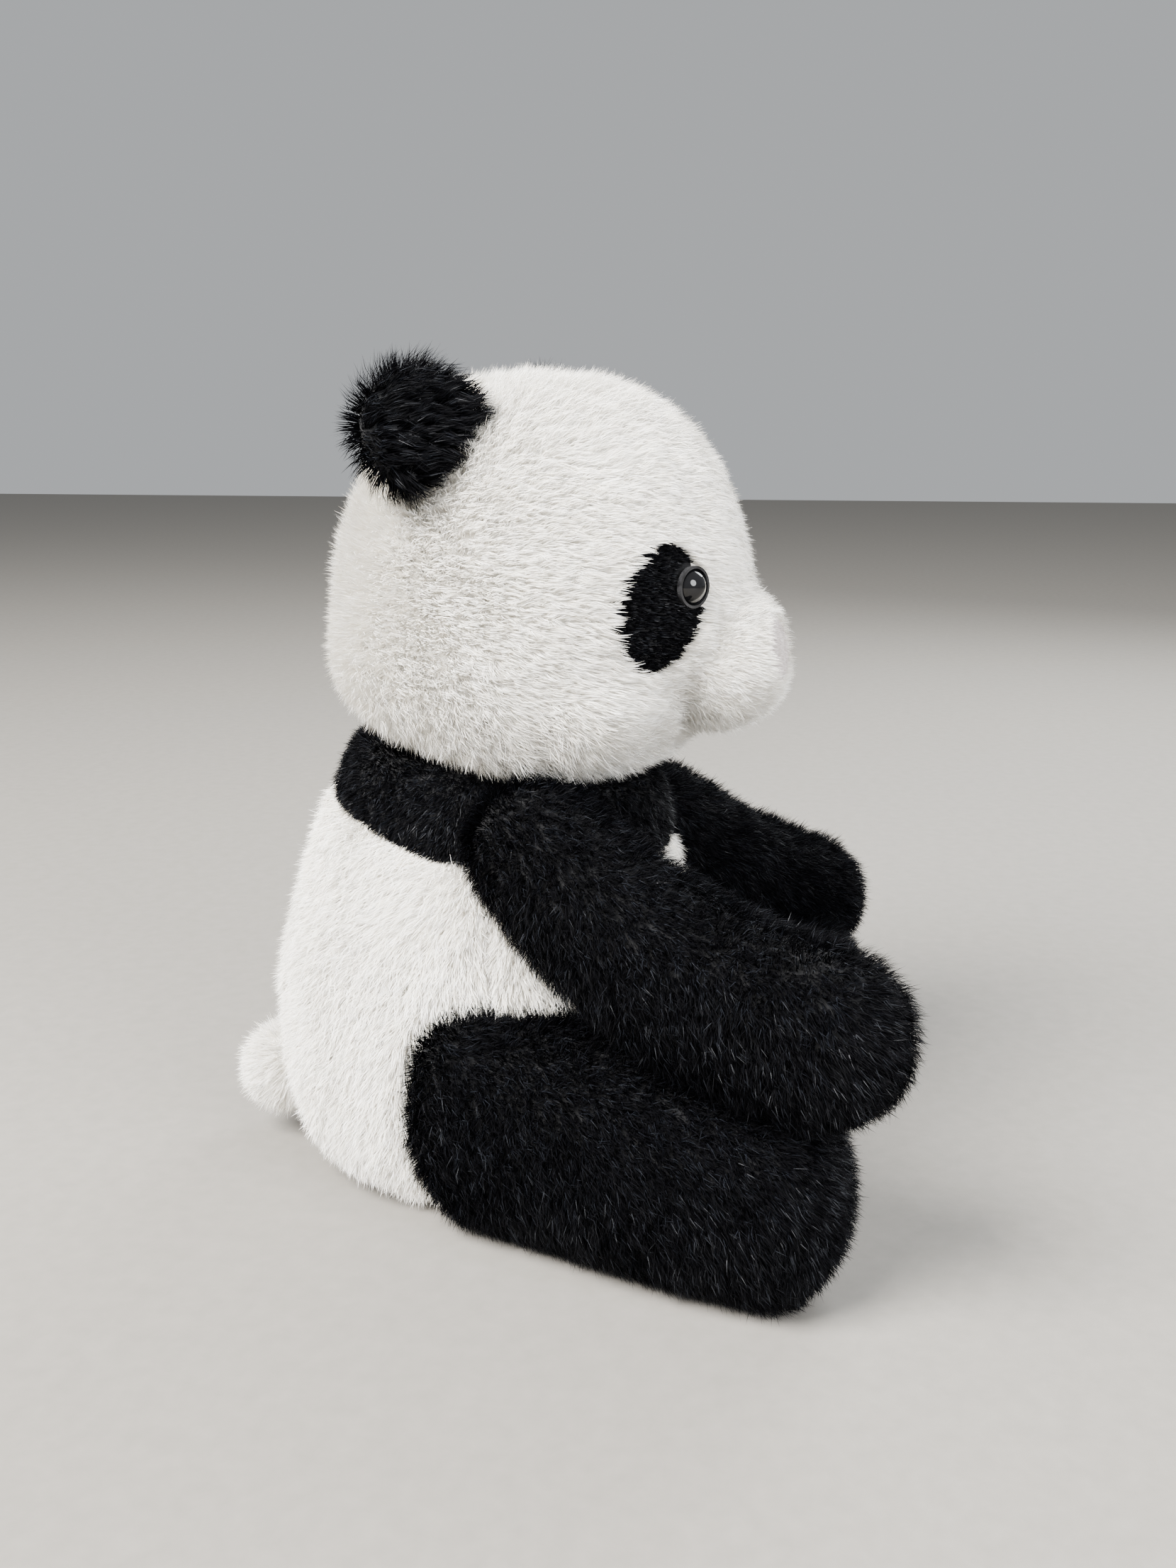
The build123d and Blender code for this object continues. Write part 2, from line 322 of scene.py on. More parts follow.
print("materials")
# the white and pale backings are darker than their fibres: painted shade at the bottom of the pile, with a
# random tuft grain over it
skins = {
    "white": plushSkin("whitePlushBackingShaded", (0.70, 0.67, 0.61), (0.84, 0.81, 0.75), 220, 0.2,
                       (1, 0.98, 0.94)),
    "black": plushSkin("blackPlushBacking", (0.0015, 0.0015, 0.002), (0.003, 0.003, 0.004), 220, 0.0,
                       (0.6, 0.7, 0.9)),
    "short": plushSkin("shortBlackPlush", (0.0015, 0.0015, 0.002), (0.003, 0.003, 0.004), 420, 0.0,
                       (0.6, 0.68, 0.85)),
    "pale": plushSkin("paleShortPlushShaded", (0.50, 0.44, 0.43), (0.66, 0.60, 0.58), 420, 0.2, (1, 0.95, 0.92)),
}
# each list runs from dark to light: the first, darker shade is painted shade for the roots deep in the pile,
# and the last, lighter one is painted light on the tips, a painted bluish glint on the black
fibres = {
    "white": [plushFibre("whiteFibreRootShade", (0.84, 0.80, 0.73), 0.85, 0.1, (1, 0.98, 0.94)),
              plushFibre("whiteFibreCream", (0.90, 0.87, 0.80), 0.8, 0.25, (1, 0.98, 0.94)),
              plushFibre("whiteFibre", (0.93, 0.91, 0.87), 0.75, 0.3, (1, 1, 1)),
              plushFibre("whiteFibreLitTip", (0.97, 0.96, 0.94), 0.7, 0.35, (1, 1, 1))],
    "black": [plushFibre("blackFibreRootShade", (0.0006, 0.0006, 0.0008), 0.9, 0.0, (0.7, 0.8, 1), 0.0),
              plushFibre("blackFibre", (0.0012, 0.0012, 0.0016), 0.7, 0.0, (0.7, 0.8, 1), 0.03),
              plushFibre("blackFibreSoft", (0.002, 0.002, 0.0028), 0.65, 0.0, (0.7, 0.8, 1), 0.05),
              plushFibre("blackFibrePaintedGlint", (0.006, 0.007, 0.010), 0.5, 0.02, (0.75, 0.85, 1), 0.16)],
    "pale": [plushFibre("paleFibreRootShade", (0.50, 0.44, 0.42), 0.85, 0.1, (1, 0.96, 0.94)),
             plushFibre("paleFibre", (0.66, 0.60, 0.58), 0.8, 0.2, (1, 0.96, 0.94)),
             plushFibre("paleFibreSoft", (0.72, 0.67, 0.65), 0.75, 0.25, (1, 0.96, 0.94)),
             plushFibre("paleFibreLitTip", (0.80, 0.76, 0.74), 0.7, 0.3, (1, 1, 1))],
}
fibres["short"] = fibres["black"]


def cutPanel(form, name, keepFaces):
    mesh = form.data
    total = len(mesh.polygons)
    centres = np.empty(total * 3)
    mesh.polygons.foreach_get("center", centres)
    chosen = keepFaces(centres.reshape(-1, 3) / mm)
    co = vertsOf(form)
    faces = [tuple(mesh.polygons[i].vertices) for i in np.nonzero(chosen)[0]]
    used = sorted({v for f in faces for v in f})
    lookup = {v: i for i, v in enumerate(used)}
    panel = collectMesh(name, co[used], [tuple(lookup[v] for v in f) for f in faces])
    panel.data.shade_smooth()
    return panel


# what all the piles share; lengths are in mm, and leans in radians from upright
anyPile = {"topShare": 0.28, "topLength": 1.12, "underLength": 0.92, "topWidth": 0.85, "underWidth": 1.15,
           "swirl": 0.35, "scatter": 0.30, "leanSpread": 0.2, "leanRange": (0.1, 1.35),
           "lengthRange": (0.75, 1.05), "widthRange": (0.75, 1.2), "ruffle": 0.14, "lockTone": 0.35,
           "droop": 0.10, "rootDepth": 0.6, "overFloor": 0.3}
lockMix = (73856093, 19349663, 83492791)   # large primes, which number the locks by their place


def scatterRoots(form, density, rng):
    # even places over the form, density to the square mm, and the way out of it at each
    mesh = form.data
    mesh.calc_loop_triangles()
    tri = np.empty(len(mesh.loop_triangles) * 3, np.int32)
    mesh.loop_triangles.foreach_get("vertices", tri)
    tri = tri.reshape(-1, 3)
    co = vertsOf(form) / mm
    normals = np.empty(len(mesh.vertices) * 3)
    mesh.vertices.foreach_get("normal", normals)
    normals = normals.reshape(-1, 3)
    a, b, c = co[tri[:, 0]], co[tri[:, 1]], co[tri[:, 2]]
    area = 0.5 * np.linalg.norm(np.cross(b - a, c - a), axis=1)
    count = int(area.sum() * density)
    pick = rng.choice(len(tri), count, p=area / area.sum())
    u, v = rng.random(count), rng.random(count)
    flip = u + v > 1
    u[flip], v[flip] = 1 - u[flip], 1 - v[flip]
    w = 1 - u - v

    def mix(rows):
        a, b, c = rows[tri[pick, 0]], rows[tri[pick, 1]], rows[tri[pick, 2]]
        return a * w[:, None] + b * u[:, None] + c * v[:, None]

    return mix(co), unit(mix(normals))


def findLocks(root, size, seed):
    # fibres near each other belong to one lock
    warped = root + 1.6 * waves(root, 11, seed + 21)
    cell = np.floor(warped / size).astype(np.int64)
    key = (cell[:, 0] * lockMix[0]) ^ (cell[:, 1] * lockMix[1]) ^ (cell[:, 2] * lockMix[2])
    return np.unique(key, return_inverse=True)[1]


def fibreMesh(name, points, loops, starts, shades, colour):
    furMesh = bpy.data.meshes.new(name)
    furMesh.vertices.add(len(points))
    furMesh.vertices.foreach_set("co", points.ravel())
    furMesh.loops.add(len(loops))
    furMesh.loops.foreach_set("vertex_index", loops.astype(np.int32))
    furMesh.polygons.add(len(starts))
    furMesh.polygons.foreach_set("loop_start", starts.astype(np.int32))
    for mat in fibres[colour]:
        furMesh.materials.append(mat)
    furMesh.polygons.foreach_set("material_index", shades.astype(np.int32))
    furMesh.update(calc_edges=True)
    furMesh.polygons.foreach_set("use_smooth", np.ones(len(starts), bool))
    fur = bpy.data.objects.new(name, furMesh)
    bpy.context.scene.collection.objects.link(fur)
    return fur


def growPile(form, name, pile, where, combing, seed, drop, shorten):
    # a fine straight undercoat and a share of longer, bent top hairs
    rng = np.random.default_rng(seed)
    root, up = scatterRoots(form, pile["density"], rng)
    keep = where(root)
    if drop is not None:
        keep &= ~drop(root, up)
    root, up = root[keep], up[keep]
    count = len(root)
    topHair = rng.random(count) < pile["topShare"]
    swirl = waves(root, 38, seed + 11) * pile["swirl"]
    comb = unit(combing(root, up) + swirl + rng.normal(size=(count, 3)) * pile["scatter"])
    comb = unit(comb - up * (comb * up).sum(1)[:, None])
    lean = pile["lean"] + 0.14 * wave(root, 24, seed + 5) + rng.normal(size=count) * pile["leanSpread"]
    lean = np.clip(lean, *pile["leanRange"])
    length = pile["length"] * rng.uniform(*pile["lengthRange"], count) * (1 + 0.07 * wave(root, 12, seed + 3))
    length *= np.where(topHair, pile["topLength"], pile["underLength"])
    if shorten is not None:
        length *= shorten(root)
    lockOf = findLocks(root, pile["lock"], seed)
    size = np.bincount(lockOf)
    middle = np.stack([np.bincount(lockOf, root[:, i]) / size for i in range(3)], 1)
    lockTilt = rng.normal(size=(len(size), 3)) * pile["ruffle"]
    lockTone = rng.normal(size=len(size))
    way = unit(up * np.cos(lean)[:, None] + comb * np.sin(lean)[:, None] + lockTilt[lockOf])
    tipAim = root + way * length[:, None]
    gather = pile["clump"] * (middle[lockOf] - root)   # the tips of a lock draw together
    tip = tipAim + gather - up * (pile["droop"] * length * lean)[:, None]
    mid = root + unit(way + up * 0.35) * (length * 0.52)[:, None] + gather * 0.35
    side = unit(np.cross(way, up) + up * (rng.normal(size=count) * 0.35)[:, None])
    width = pile["width"] * rng.uniform(*pile["widthRange"], count)
    width = (width * np.where(topHair, pile["topWidth"], pile["underWidth"]))[:, None]
    base = root - up * pile["rootDepth"]
    tone = pile["lockTone"] * lockTone[lockOf] + 0.8 * rng.normal(size=count)
    # each tip takes a shade one step lighter than its root: painted light on the tips and painted shade at
    # the roots deep in the pile
    tipLitTone = np.where(tone < -0.6, 1, np.where(tone < 0.8, 2, 3))
    rootShadedTone = np.where(tone < -0.4, 0, np.where(tone < 1.0, 1, 2))
    bent, flat = topHair, ~topHair
    bends, flats = int(bent.sum()), int(flat.sum())
    hairs = np.empty((bends, 5, 3))
    hairs[:, 0] = (base - side * width * 0.5)[bent]
    hairs[:, 1] = (base + side * width * 0.5)[bent]
    hairs[:, 2] = (mid - side * width * 0.42)[bent]
    hairs[:, 3] = (mid + side * width * 0.42)[bent]
    hairs[:, 4] = tip[bent]
    under = np.empty((flats, 3, 3))
    under[:, 0] = (base - side * width * 0.5)[flat]
    under[:, 1] = (base + side * width * 0.5)[flat]
    under[:, 2] = tip[flat]
    points = np.concatenate([hairs.reshape(-1, 3), under.reshape(-1, 3)])
    points[:, 2] = np.maximum(points[:, 2], pile["overFloor"])
    points *= mm
    first = np.arange(bends)[:, None] * 5
    loops = np.concatenate([(first + np.array([0, 1, 3, 2, 2, 3, 4])).ravel(),   # a quad, then its tip
                            bends * 5 + np.arange(flats * 3)])
    starts = np.concatenate([(np.arange(bends)[:, None] * 7 + np.array([0, 4])).ravel(),
                             bends * 7 + np.arange(flats) * 3])
    # root quads get the darker tone, painted shade, and tips the lighter one, painted light
    shades = np.concatenate([np.stack([rootShadedTone[bent], tipLitTone[bent]], 1).ravel(),
                             np.maximum(tipLitTone[flat] - (rng.random(flats) < 0.3), 0)])
    return fibreMesh(name, points, loops, starts, shades, pile["colour"])


pileTriangles = []


def dress(form, name, node, body, pile, keepFaces, combing, seed, drop=None, shorten=None, also=()):
    # one sewn panel: its backing and its pile
    panel = cutPanel(form, name, keepFaces)
    panel.data.materials.append(skins[pile["colour"]])
    fur = growPile(form, name + "Pile", pile, keepFaces, combing, seed, drop, shorten)
    pileTriangles.append(len(fur.data.loops) - 2 * len(fur.data.polygons))
    for piece in (panel, fur):
        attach(piece, body)
    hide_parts(node, *also)


def toward(way):
    way = np.array(way, float)
    return lambda root, up: np.tile(way, (len(root), 1))


print("head")
head = {
    "look": -7.0, "neckY": -12.0, "middleY": -26.0, "wide": 1.02, "deep": 0.985, "rear": 0.93,
    "jawBack": 0.17, "napeRise": 10.0,
    "profile": [(0, 163), (24, 163), (52, 162.5), (67, 171), (74.5, 188), (75.5, 212), (72.5, 236),
                (63.5, 261), (49, 278), (33, 287.5), (16, 291.4), (0, 292)],
    "muzzle": ((0, -92, 198.5), (29, 24, 24.5)),
    "bridge": ((0, -76, 222), (25, 25, 20)),
    "jowl": ((38, -52, 189), (31, 29, 23)),
    "brow": ((0, -55, 236), (42, 34, 33)),
    "crown": ((0, -40, 266), (42, 27, 25)),
    "crownHalf": 26.0, "chinTop": 200.0, "seamDip": 1.4, "uneven": 0.8, "heart": (0, -26, 225),
    "muzzleRim": 1.5, "muzzleFront": -84.0, "noseFront": -100.0, "noseHeight": 202.0,
    "noseHalf": (14.0, 12.0), "eyeClear": 8.2, "neckTop": 169.0, "neckRadius": 30.0, "neckMiddle": -14.0,
}
look = Matrix.Rotation(math.radians(head["look"]), 3, "Z")
lookRows = np.array(look)


def faceOn(points):
    # from the turned head back to looking straight ahead, in mm
    shifted = points - np.array([0, head["neckY"], 0])
    return shifted @ lookRows + np.array([0, head["neckY"], 0])


def turnHead(points):
    shifted = points - np.array([0, head["neckY"], 0])
    return shifted @ lookRows.T + np.array([0, head["neckY"], 0])


def placeHead(points):
    placed = points * np.array([head["wide"], head["deep"], 1])
    high = smoothStep(points[:, 2], 172, 215)   # the back of the head is flatter than the jaw
    placed[:, 1] = np.where(placed[:, 1] > 0, placed[:, 1] * (1 - (1 - head["rear"]) * high), placed[:, 1])
    low = 1 - smoothStep(points[:, 2], 180, 214)   # the jaw stays behind the muzzle
    placed[:, 1] = np.where(placed[:, 1] < 0, placed[:, 1] * (1 - head["jawBack"] * low), placed[:, 1])
    nape = smoothStep(placed[:, 1], -30, 50) * (1 - smoothStep(points[:, 2], 170, 225))
    placed[:, 2] += head["napeRise"] * nape
    return placed + np.array([0, head["middleY"], 0])


skull = turnedForm("headForm", head["profile"], placeHead)
jowlFar = ((-head["jowl"][0][0], *head["jowl"][0][1:]), head["jowl"][1])
lumps = [head["muzzle"], head["bridge"], head["brow"], head["crown"], head["jowl"], jowlFar]
headForm = joinForms("headForm", [skull, stuffedForm("headLumps", lumps, cover["voxel"], 3)], 5)
headStraight = vertsOf(headForm) / mm
seamDip = head["seamDip"] * np.exp(-((np.abs(headStraight[:, 0]) - head["crownHalf"]) / 3.0) ** 2)
uneven = head["uneven"] * wave(headStraight, 36, 72) * smoothStep(headStraight[:, 1], -75, -40)
headStraight += unit(headStraight - np.array(head["heart"])) * uneven[:, None]
headStraight[:, 0] -= np.sign(headStraight[:, 0]) * seamDip * (headStraight[:, 2] > head["chinTop"])
setVerts(headForm, turnHead(headStraight) * mm)

eyeBox = {side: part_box("eye_" + side) for side in ("left", "right")}
eyeAt = {side: (Vector(eyeBox[side][0]) + Vector(eyeBox[side][1])) / 2 / mm for side in eyeBox}
patch = {"x": 47.5, "z": 219.5, "radii": (18.0, 22.0), "slant": 28.0, "faceRadius": 75.0}


def onPatch(points):
    # the slanted oval round each eye, seen from straight ahead of it
    p = faceOn(points)
    side = np.sign(p[:, 0])
    angle = np.arctan2(np.abs(p[:, 0]), -(p[:, 1] - head["middleY"]))
    middle = math.asin(patch["x"] / patch["faceRadius"])
    across = (angle - middle) * patch["faceRadius"]
    rise = p[:, 2] - patch["z"]
    s = math.radians(patch["slant"])
    one = across * math.cos(s) + rise * math.sin(s)
    two = -across * math.sin(s) + rise * math.cos(s)
    return (one / patch["radii"][0]) ** 2 + (two / patch["radii"][1]) ** 2 < 1


def onMuzzle(points):
    p = faceOn(points)
    centre, radii = head["muzzle"]
    d = (p - np.array(centre)) / (np.array(radii) + head["muzzleRim"])
    return ((d * d).sum(1) < 1) & (p[:, 1] < head["muzzleFront"])


def onNose(points):
    p = faceOn(points)
    across, tall = head["noseHalf"]
    oval = (p[:, 0] / across) ** 2 + ((p[:, 2] - head["noseHeight"]) / tall) ** 2
    return (p[:, 1] < head["noseFront"]) & (oval < 1)


def headPart(which):
    def keep(points):
        p = faceOn(points)
        eyePatch, muzzle, nose = onPatch(points), onMuzzle(points), onNose(points)
        plain = ~eyePatch & ~muzzle & ~nose
        strip = np.abs(p[:, 0]) < head["crownHalf"]
        under = (p[:, 2] < head["chinTop"]) & (p[:, 1] < head["neckY"])
        return {
            "sideLeft": plain & ~strip & (p[:, 0] > 0), "sideRight": plain & ~strip & (p[:, 0] < 0),
            "crown": plain & strip & ~under, "chin": plain & strip & under,
            "patchLeft": eyePatch & ~muzzle & (p[:, 0] > 0), "patchRight": eyePatch & ~muzzle & (p[:, 0] < 0),
            "muzzleLeft": muzzle & ~nose & (p[:, 0] > 0), "muzzleRight": muzzle & ~nose & (p[:, 0] <= 0),
            "nose": nose,
        }[which]
    return keep


def headComb(root, up):
    # the pile runs from the nose over the head, and down at the sides
    p = faceOn(root)
    away = unit(p - np.array([0, -112, 214]))
    return turnHead(away + np.array([0, head["neckY"], 0])) * 0.9 + np.array([0, 0, -0.55])


def nearEye(root):
    hit = np.zeros(len(root), bool)
    for side in eyeAt:
        d = root - np.array(eyeAt[side])
        hit |= (d * d).sum(1) < head["eyeClear"] ** 2
    return hit


def headShort(root):
    # the pile is trimmed shorter on the face, along the seams and down the middle of the muzzle
    p = faceOn(root)
    face = smoothStep(-p[:, 1], 60, 92)
    seam = np.exp(-((np.abs(p[:, 0]) - head["crownHalf"]) / 2.2) ** 2) * (p[:, 2] > head["chinTop"])
    crease = np.exp(-(p[:, 0] / 1.8) ** 2) * (p[:, 1] < -95)
    return (1 - 0.22 * face) * (1 - 0.25 * seam) * (1 - 0.45 * crease)


def hideUnder(root, up):
    # no pile where the head sits on the neck, nor over an eye
    seat = np.hypot(root[:, 0], root[:, 1] - head["neckMiddle"]) < head["neckRadius"]
    return (root[:, 2] < head["neckTop"]) & seat | nearEye(root)


whitePile = dict(anyPile, colour="white", density=4.3, length=8.2, width=0.38, lean=0.64, clump=0.18,
                 lock=2.4, ruffle=0.12)
muzzlePile = dict(whitePile, length=7.0, density=5.0, width=0.34, lean=0.56, lock=2.0)
patchPile = dict(anyPile, colour="short", density=5.0, length=4.2, width=0.4, lean=0.7, clump=0.2, lock=2.0)
nosePile = dict(anyPile, colour="pale", density=7.0, length=2.4, width=0.32, lean=0.6, clump=0.15, lock=1.6)
for number, (which, node, slot, pile) in enumerate([
        ("sideLeft", "head_side_left", "white_plush", whitePile),
        ("sideRight", "head_side_right", "white_plush", whitePile),
        ("crown", "head_crown", "white_plush", whitePile),
        ("chin", "head_chin", "white_plush", whitePile),
        ("patchLeft", "eye_patch_left", "black_short_plush", patchPile),
        ("patchRight", "eye_patch_right", "black_short_plush", patchPile),
        ("muzzleLeft", "muzzle_left", "white_plush", muzzlePile),
        ("muzzleRight", "muzzle_right", "white_plush", muzzlePile),
        ("nose", "nose_pad", "pale_short_plush", nosePile)]):
    also = ("head_stuffing", "muzzle_stuffing") if which == "crown" else ()
    dress(headForm, "head" + which[0].upper() + which[1:], node, "head", pile,
          headPart(which), headComb, 100 + number, hideUnder, headShort, also)


print("torso")
torso = {
    "tilt": 5.3, "back": 3.0, "seat": 4.5, "yoke": 133.0, "yokeRise": 0.2, "baseSeam": 9.0, "sideSeam": -21.0,
    "limbGap": 1.0, "pressStep": 2.0, "pressTurns": 14, "yokeDip": 1.0, "sideDip": 1.4, "uneven": 1.3,
    "hip": (66, -4, 88), "hipFold": 1.8, "neckTop": 158.0, "neckRadius": 40.0, "neckMiddle": -14.0,
    "profile": [(0, 1), (42, 1), (56, 5), (65, 18), (69.5, 42), (70.5, 70), (67.5, 105), (63, 132),
                (59, 148), (56, 160), (46, 167), (36, 163), (20, 161.5), (0, 161.5)],
}
lean = Matrix.Rotation(math.radians(torso["tilt"]), 3, "X")
leanRows = np.array(lean)


def placeTorso(points):
    leaned = points @ leanRows.T + np.array([0, torso["back"], 0])
    leaned[:, 2] = np.maximum(leaned[:, 2], 1.0)
    seat = torso["seat"] * np.exp(-((leaned[:, 2] - 82) / 38) ** 2)
    leaned[:, 1] += seat * smoothStep(leaned[:, 1], -10, 60)
    return leaned


def upright(points):
    return (points - np.array([0, torso["back"], 0])) @ leanRows


def aboveYoke(points):
    # height over the yoke seam, which climbs toward the back
    return upright(points)[:, 2] - torso["yoke"] - torso["yokeRise"] * np.maximum(points[:, 1], 0)


armRight = {"stops": [((-63, -37, 139), (19, 22, 22)), ((-78, -62, 122), (20.5, 26, 26)),
                      ((-93, -97, 105), (21.5, 27, 26.5)), ((-107, -136.5, 96), (21, 25.5, 27))]}
armLeft = {"stops": [((62, -38, 130), (19, 21, 22)), ((81, -61, 111), (20.5, 23.5, 24)),
                     ((104, -88, 90), (21, 24, 24)), ((124, -118, 75), (20, 22, 24))]}
legRight = {"stops": [((-60, -24, 41), (28, 32, 39.5)), ((-71, -58, 40), (30, 33, 38.5)),
                      ((-84, -92, 37.5), (30, 32, 36)), ((-92, -121, 36), (29, 24, 35))]}
legLeft = {"stops": [((-x, y, z), r) for (x, y, z), r in legRight["stops"]]}
legCorner = {"right": ((-60, -16, 55), (25, 23, 27)), "left": ((60, -16, 55), (25, 23, 27))}
limbSteps = 14
limbBalls = {name: stretchPath(path["stops"], limbSteps)
             for name, path in (("armRight", armRight), ("armLeft", armLeft),
                                ("legRight", legRight), ("legLeft", legLeft))}
limbBalls["legRight"].append(legCorner["right"])
limbBalls["legLeft"].append(legCorner["left"])
torsoForm = joinForms("torsoForm", [turnedForm("torsoTurned", torso["profile"], placeTorso, 96, 80)], 4)
co = vertsOf(torsoForm) / mm
for balls in limbBalls.values():   # the torso gives where a limb presses in
    for centre, radii in balls:
        grown = np.array(radii) + torso["limbGap"]
        outward = levelOut(co)
        for _ in range(torso["pressTurns"]):
            hit = (((co - np.array(centre)) / grown) ** 2).sum(1) < 1
            co[hit] -= outward[hit] * torso["pressStep"]
setVerts(torsoForm, co * mm)
calmDown(torsoForm, 0.5, 3)
applyAll(torsoForm)


def bySeam(points, width):
    # two values to a point: how near it is to the yoke seam and to a side seam, 1 on the seam
    yoke = np.exp(-(aboveYoke(points) / width) ** 2)
    return yoke, np.exp(-((points[:, 1] - torso["sideSeam"]) / width) ** 2)


co = vertsOf(torsoForm) / mm
yokeNear, sideNear = bySeam(co, 3.0)
dip = torso["yokeDip"] * yokeNear + torso["sideDip"] * sideNear * (aboveYoke(co) < 0)
for side in (-1, 1):   # gathers over the top of each hip seam
    reach = co - np.array(torso["hip"]) * np.array([side, 1, 1])
    far = np.linalg.norm(reach, axis=1)
    folds = 0.5 + 0.5 * np.cos(np.arctan2(reach[:, 2], reach[:, 1]) * 11)
    dip += torso["hipFold"] * np.exp(-((far - 14) / 11) ** 2) * folds
co -= levelOut(co) * (dip - torso["uneven"] * wave(co, 42, 71))[:, None]
setVerts(torsoForm, co * mm)
stuffTight(torsoForm, lambda p: np.maximum(np.maximum(*bySeam(p, 3.5)), p[:, 2] < 6), 2.5)


def torsoPart(which):
    def keep(points):
        yoke = aboveYoke(points) > 0
        base = ~yoke & (points[:, 2] < torso["baseSeam"])
        wall = ~yoke & ~base
        front = points[:, 1] < torso["sideSeam"]
        left = points[:, 0] > 0
        return {"yokeLeft": yoke & left, "yokeRight": yoke & ~left, "base": base, "belly": wall & front,
                "backLeft": wall & ~front & left, "backRight": wall & ~front & ~left}[which]
    return keep


def underLimb(root, up):
    # no pile under the head, on the floor, or where a limb lies against the torso
    seat = np.hypot(root[:, 0], root[:, 1] - torso["neckMiddle"]) < torso["neckRadius"]
    hit = (root[:, 2] > torso["neckTop"]) & seat
    hit |= (root[:, 2] < 4) & (up[:, 2] < -0.5)
    for balls in limbBalls.values():
        hit |= insideBalls(root, balls, 2.5)
    return hit


def torsoShort(root):
    over = aboveYoke(root)
    seam = np.exp(-(over / 2.2) ** 2) + np.exp(-((root[:, 1] - torso["sideSeam"]) / 2.0) ** 2) * (over < 0)
    return 1 - 0.4 * np.clip(seam, 0, 1)


def torsoComb(root, up):
    way = np.tile(np.array([0, 0.12, -1.0]), (len(root), 1))
    way[:, 1] += 0.35 * wave(root, 50, 77)
    return way


yokePile = dict(anyPile, colour="short", density=3.4, length=5.5, width=0.45, lean=0.8, clump=0.2, lock=2.4)
bodyPile = dict(whitePile, density=3.9, lean=0.72)
for number, (which, node, slot, pile) in enumerate([
        ("yokeLeft", "yoke_left", "black_short_plush", yokePile),
        ("yokeRight", "yoke_right", "black_short_plush", yokePile),
        ("base", "torso_base", "white_plush", bodyPile),
        ("belly", "torso_belly", "white_plush", bodyPile),
        ("backLeft", "torso_back_left", "white_plush", bodyPile),
        ("backRight", "torso_back_right", "white_plush", bodyPile)]):
    also = ("torso_stuffing", "pellet_bag") if which == "base" else ()
    dress(torsoForm, "torso" + which[0].upper() + which[1:], node, "torso", pile,
          torsoPart(which), torsoComb, 200 + number, underLimb, torsoShort, also)


print("limbs")
armPile = dict(anyPile, colour="black", density=3.4, length=8.0, width=0.38, lean=0.72, clump=0.18, lock=2.6)
legPile = dict(armPile, length=8.6)
solePile = dict(armPile, length=7.5, density=3.2)


limb = {"seamDip": 1.3, "legFloor": 1.2, "shoulderHalf": 50.0, "soleBack": 12.0}


def makeLimb(kind, side, pile, seed):
    name = kind + side.capitalize()
    balls = limbBalls[name]
    form = stuffedForm(name + "Form", balls, cover["voxel"], 4)
    start, stop = balls[0][0], balls[limbSteps - 1][0]
    along = (stop - start) / np.linalg.norm(stop - start)
    sign = 1 if side == "left" else -1
    across = np.array([sign, 0, 0]) - along * along[0] * sign
    across /= np.linalg.norm(across)
    co = vertsOf(form) / mm
    if kind == "leg":
        co[:, 2] = np.maximum(co[:, 2], limb["legFloor"])
    seamAt = (co - start) @ across
    co -= unit(co - co.mean(0)) * (limb["seamDip"] * np.exp(-(seamAt / 2.6) ** 2))[:, None]
    setVerts(form, co * mm)
    stuffTight(form, lambda p: np.maximum(np.exp(-(((p - start) @ across) / 3.5) ** 2), p[:, 2] < 4), 2.0)
    comb = toward(along * 0.9 + np.array([0, 0, -0.35]))

    def shorter(root):
        return 1 - 0.35 * np.exp(-(((root - start) @ across) / 1.8) ** 2)

    def hidden(root, up):
        inBody = (np.abs(root[:, 0]) < limb["shoulderHalf"]) & (kind == "arm")
        return inBody | ((root[:, 2] < 3) & (up[:, 2] < -0.5))

    def onSole(p):
        return ((p - start) @ along > (stop - start) @ along + limb["soleBack"]) & (kind == "leg")

    def outer(p):
        return ((p - start) @ across > 0) & ~onSole(p)

    def inner(p):
        return ((p - start) @ across <= 0) & ~onSole(p)

    body = kind + "_" + side
    dress(form, name + "Outer", kind + "_outer_" + side, body, pile, outer, comb,
          seed, hidden, shorter, (kind + "_stuffing_" + side,))
    dress(form, name + "Inner", kind + "_inner_" + side, body, pile, inner, comb,
          seed + 1, hidden, shorter)
    if kind == "leg":
        dress(form, name + "Sole", "leg_sole_" + side, body, solePile, onSole,
              toward((0, -0.2, -1)), seed + 2, hidden, shorter)
    bpy.data.objects.remove(form)


makeLimb("arm", "right", armPile, 300)
makeLimb("arm", "left", armPile, 310)
makeLimb("leg", "right", legPile, 320)
makeLimb("leg", "left", legPile, 330)


print("ears and tail")
ear = {"at": (65.8, -8.5, 276.0), "radius": 22.5, "half": 7.0, "facing": (0.62, -0.62, 0.30),
       "line": (0.66, 0.28, -0.60), "root": 13.0, "cup": 2.2}
earPile = dict(anyPile, colour="black", density=4.5, length=10.0, width=0.38, lean=0.62, clump=0.42,
               lock=3.6, ruffle=0.22, lockTone=0.3)


